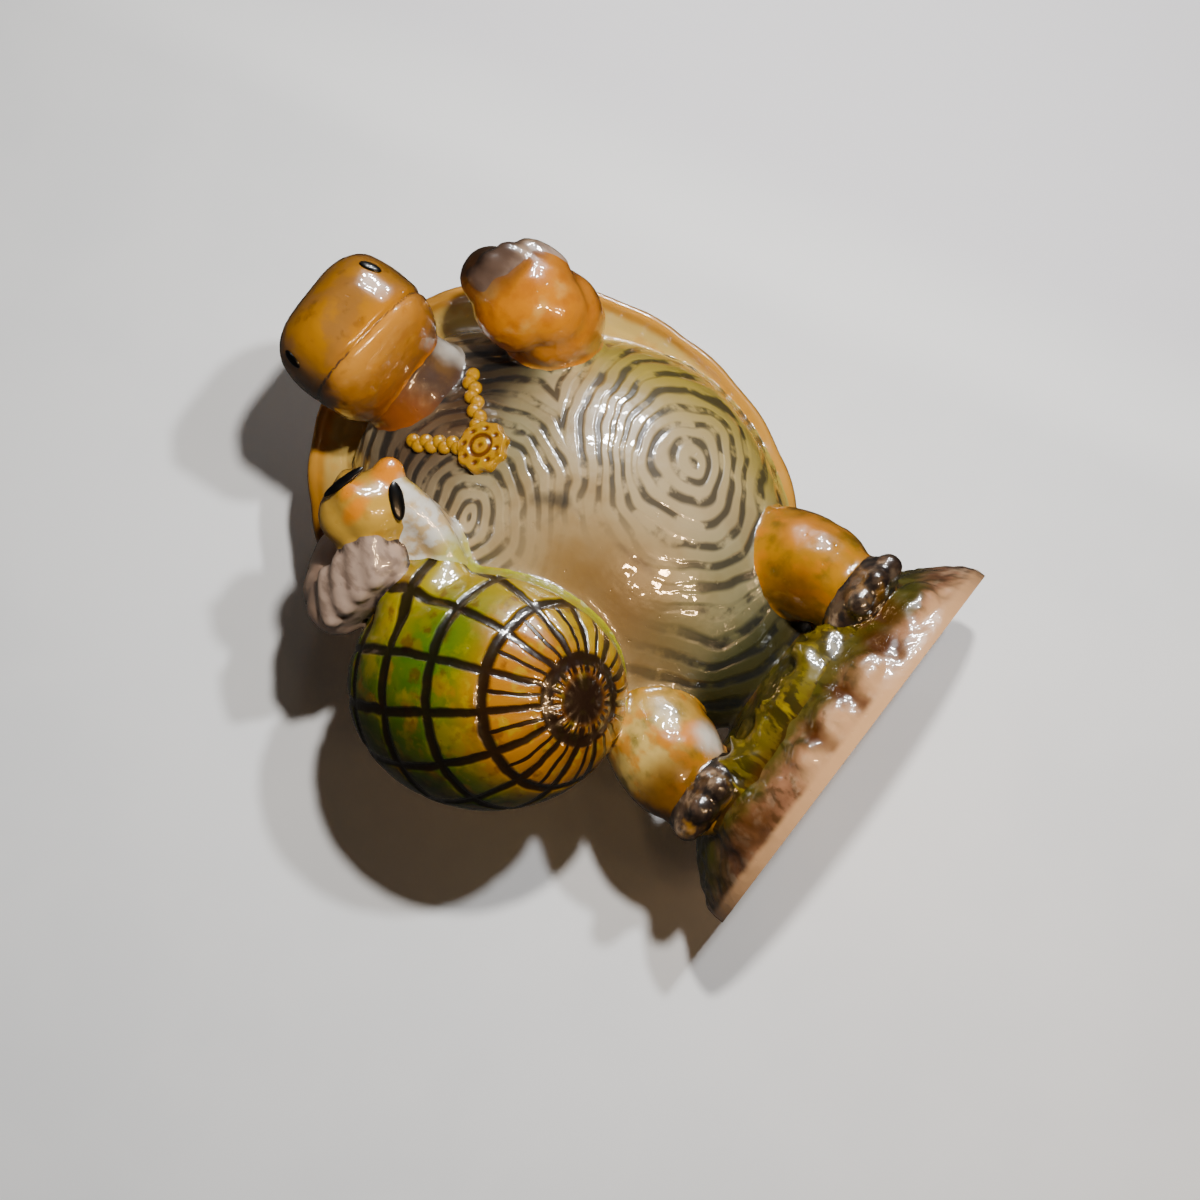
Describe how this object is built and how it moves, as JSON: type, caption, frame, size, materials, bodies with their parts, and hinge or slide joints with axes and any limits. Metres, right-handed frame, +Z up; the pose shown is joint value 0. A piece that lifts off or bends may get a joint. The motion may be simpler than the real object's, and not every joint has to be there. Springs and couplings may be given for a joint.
{
  "type": "turtle figurine",
  "caption": "Glazed ceramic ornament of a big turtle standing on a rocky mound with a young turtle held at its side; rests on its flat underside.",
  "frame": {"origin": "middle of the mound's flat underside, on the surface that the ornament stands on", "axes": "+Z up through the head, -Y the way the belly faces, +X towards the raised arm"},
  "size_m": [0.0756, 0.0603, 0.096],
  "materials": {
    "mound_paint": "high-gloss glaze over pinkish brown and olive brushwork",
    "grass_paint": "high-gloss glaze over olive and lime strokes",
    "belly_paint": "high-gloss glaze over cream with grey-black growth rings",
    "shell_paint": "high-gloss glaze over ochre yellow to brown",
    "skin_paint": "high-gloss glaze over ochre and orange",
    "head_paint": "high-gloss glaze over ochre, tan and grey-pink",
    "hand_paint": "high-gloss glaze over pinkish tan with grey-brown strokes",
    "foot_paint": "high-gloss glaze over ochre with pale toes",
    "pendant_paint": "high-gloss glaze over mustard gold with dark dots",
    "young_shell_paint": "high-gloss glaze over lime and amber plates in a dark brown grid",
    "young_rim_paint": "high-gloss glaze over pale yellow-green",
    "young_skin_paint": "high-gloss glaze over white and cream",
    "young_head_paint": "high-gloss glaze over cream with orange stripes and black eyes"
  },
  "bodies": {
    "root": {"base_mound": "mound_paint", "grass_tuft": "grass_paint", "plastron": "belly_paint", "carapace": "shell_paint", "neck": "skin_paint", "head": "head_paint", "left_arm": "skin_paint", "left_hand": "hand_paint", "right_arm": "skin_paint", "right_hand": "hand_paint", "left_leg": "skin_paint", "left_foot": "foot_paint", "right_leg": "skin_paint", "right_foot": "foot_paint", "medallion": "pendant_paint", "chain_left": "pendant_paint", "chain_right": "pendant_paint", "young_shell": "young_shell_paint", "young_rim": "young_rim_paint", "young_neck": "young_skin_paint", "young_head": "young_head_paint"}
  },
  "joints": []
}
